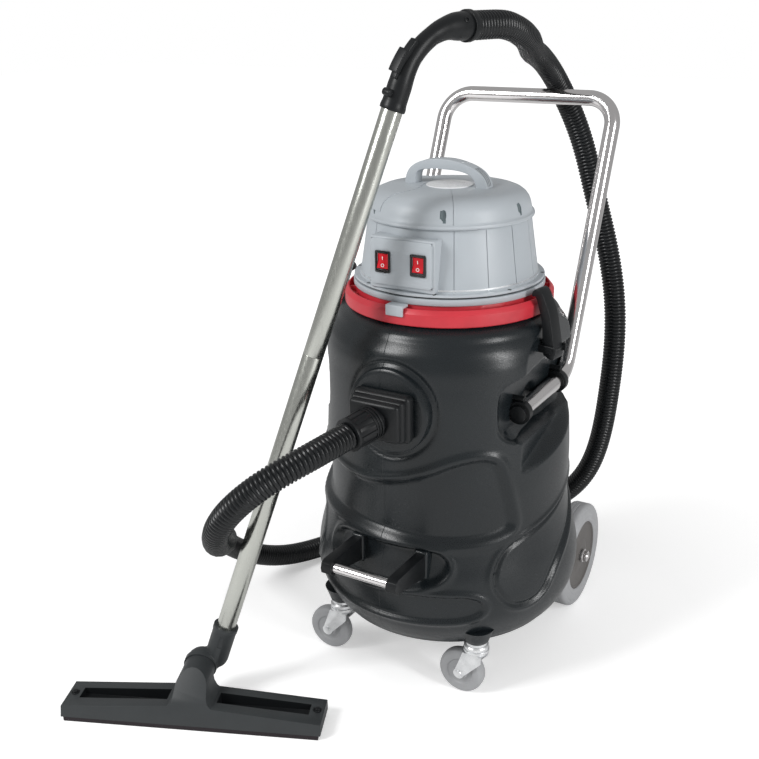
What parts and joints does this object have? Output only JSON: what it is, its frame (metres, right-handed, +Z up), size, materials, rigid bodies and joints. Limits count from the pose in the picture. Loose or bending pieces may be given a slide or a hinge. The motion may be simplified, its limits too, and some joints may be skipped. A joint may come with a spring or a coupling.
{
  "type": "wet and dry vacuum cleaner",
  "caption": "Wheeled wet and dry drum vacuum with a twin-motor head, push handle, front grip, ribbed hose, steel wand and wide floor tool.",
  "frame": {"origin": "on the floor, under the middle of the tank", "axes": "+Z up; -Y is the front with the switches and the hose inlet; +Y is the back with the push handle and the big wheels; +X is the right-hand side seen from the front"},
  "size_m": [0.6952, 1.0045, 1.0981],
  "materials": {
    "tank_black": "moulded polyethylene, satin",
    "trim_black": "moulded, satin",
    "head_grey": "moulded, satin",
    "ring_red": "moulded, satin",
    "rocker_red": "glossy",
    "switch_black": "glossy",
    "disc_white": "smooth",
    "chrome_tube": "polished",
    "wand_steel": "polished along its length",
    "zinc": "zinc plated",
    "axle_steel": "turned",
    "tyre_grey": "non-marking rubber",
    "hub_grey": "moulded",
    "caster_grey": "non-marking rubber",
    "hose_black": "ribbed, satin",
    "tool_grey": "moulded, fine grain",
    "bristle_black": "bristle strip",
    "gasket_black": "soft",
    "filter_white": "pleated cloth",
    "foam_grey": "open foam",
    "motor_metal": "painted",
    "rotor_copper": "wound and machined",
    "float_cream": "hollow float"
  },
  "bodies": {
    "machine": {"tank": "tank_black", "tank_gasket": "gasket_black", "inlet_block": "trim_black", "inlet_deflector": "trim_black", "tank_cuff": "trim_black", "latch_brackets": "trim_black", "push_handle": "chrome_tube", "handle_clamps": "trim_black", "clamp_screws": "trim_black", "tube_caps": "trim_black", "grip_bar": "chrome_tube", "grip_arms": "trim_black", "rear_axle": "axle_steel", "axle_nuts": "chrome_tube", "caster_sockets": "zinc", "wand_lower": "wand_steel", "wand_upper": "wand_steel", "wand_grip": "trim_black", "grip_collar": "trim_black", "hose": "hose_black", "tool_collar": "trim_black"},
    "head": {"bumper_ring": "ring_red", "ring_clip": "head_grey", "base_flange": "head_grey", "motor_housing": "head_grey", "dome_cover": "head_grey", "carry_handle": "head_grey", "dome_disc": "disc_white", "head_screws": "zinc", "switch_panel": "head_grey", "switch_frames": "switch_black", "motor_plate": "zinc", "motor_left": "motor_metal", "motor_right": "motor_metal", "sound_foam": "foam_grey", "cable_gland": "trim_black", "float_cage": "float_cream", "cartridge_filter": "filter_white"},
    "release_button": {"release_button": "ring_red"},
    "rocker_left": {"rocker_left": "rocker_red"},
    "rocker_right": {"rocker_right": "rocker_red"},
    "rotor_left": {"rotor_left": "rotor_copper"},
    "rotor_right": {"rotor_right": "rotor_copper"},
    "float": {"float_ball": "float_cream"},
    "latch_left": {"latch_left": "trim_black"},
    "latch_right": {"latch_right": "trim_black"},
    "wheel_left": {"tyre_left": "tyre_grey", "hub_left": "hub_grey"},
    "wheel_right": {"tyre_right": "tyre_grey", "hub_right": "hub_grey"},
    "caster_fork_left": {"caster_fork_left": "zinc"},
    "caster_fork_right": {"caster_fork_right": "zinc"},
    "caster_wheel_left": {"caster_wheel_left": "caster_grey"},
    "caster_wheel_right": {"caster_wheel_right": "caster_grey"},
    "air_slide": {"air_slide": "trim_black"},
    "floor_tool": {"tool_body": "tool_grey", "tool_strips": "bristle_black", "tool_screws": "trim_black"}
  },
  "joints": [
    {"name": "head_lift", "type": "slide", "parent": "machine", "child": "head", "axis": [0, 0, 1], "range_m": [0, 0.15]},
    {"name": "latch_right_turn", "type": "hinge", "parent": "machine", "child": "latch_right", "pos_m": [0.20681, -0.03647, 0.589], "axis": [0.1736, 0.9848, 0], "range_deg": [0, 90]},
    {"name": "latch_left_turn", "type": "hinge", "parent": "machine", "child": "latch_left", "pos_m": [-0.20681, -0.03647, 0.589], "axis": [0.1736, -0.9848, 0], "range_deg": [0, 90]},
    {"name": "float_rise", "type": "slide", "parent": "head", "child": "float", "axis": [0, 0, 1], "range_m": [0, 0.07]},
    {"name": "rotor_left_spin", "type": "hinge", "parent": "head", "child": "rotor_left", "pos_m": [-0.058, 0, 0.74], "axis": [0, 0, 1], "continuous": true},
    {"name": "rocker_left_tilt", "type": "hinge", "parent": "head", "child": "rocker_left", "pos_m": [-0.037, -0.148, 0.736], "axis": [1, 0, 0], "range_deg": [0, 14]},
    {"name": "wheel_left_roll", "type": "hinge", "parent": "machine", "child": "wheel_left", "pos_m": [-0.17, 0.206, 0.1], "axis": [1, 0, 0], "continuous": true},
    {"name": "caster_left_swivel", "type": "hinge", "parent": "machine", "child": "caster_fork_left", "pos_m": [-0.132, -0.151, 0.09], "axis": [0, 0, 1], "continuous": true},
    {"name": "caster_left_roll", "type": "hinge", "parent": "caster_fork_left", "child": "caster_wheel_left", "pos_m": [-0.157, -0.151, 0.04], "axis": [0, 1, 0], "continuous": true},
    {"name": "rotor_right_spin", "type": "hinge", "parent": "head", "child": "rotor_right", "pos_m": [0.058, 0, 0.74], "axis": [0, 0, 1], "continuous": true},
    {"name": "rocker_right_tilt", "type": "hinge", "parent": "head", "child": "rocker_right", "pos_m": [0.024, -0.148, 0.736], "axis": [1, 0, 0], "range_deg": [0, 14]},
    {"name": "wheel_right_roll", "type": "hinge", "parent": "machine", "child": "wheel_right", "pos_m": [0.17, 0.206, 0.1], "axis": [1, 0, 0], "continuous": true},
    {"name": "caster_right_swivel", "type": "hinge", "parent": "machine", "child": "caster_fork_right", "pos_m": [0.132, -0.151, 0.09], "axis": [0, 0, 1], "continuous": true},
    {"name": "caster_right_roll", "type": "hinge", "parent": "caster_fork_right", "child": "caster_wheel_right", "pos_m": [0.107, -0.151, 0.04], "axis": [0, 1, 0], "continuous": true},
    {"name": "release_press", "type": "slide", "parent": "machine", "child": "release_button", "axis": [0.904, -0.3033, 0.3013], "range_m": [0, 0.002], "stiffness_N_per_m": 300},
    {"name": "air_slide_move", "type": "hinge", "parent": "machine", "child": "air_slide", "pos_m": [0.03054, -0.08178, 0.97732], "axis": [-0.9397, 0.2694, 0.2107], "range_deg": [0, 6]},
    {"name": "tool_swivel", "type": "hinge", "parent": "machine", "child": "floor_tool", "pos_m": [-0.26568, -0.39153, 0.066], "axis": [-0.3785, 0.9092, 0.1736], "range_deg": [-40, 40]}
  ],
  "couplings": [
    {"joint": "latch_right_turn", "follows": "head_lift", "rad_per_m": 10.472},
    {"joint": "latch_left_turn", "follows": "head_lift", "rad_per_m": 10.472}
  ]
}
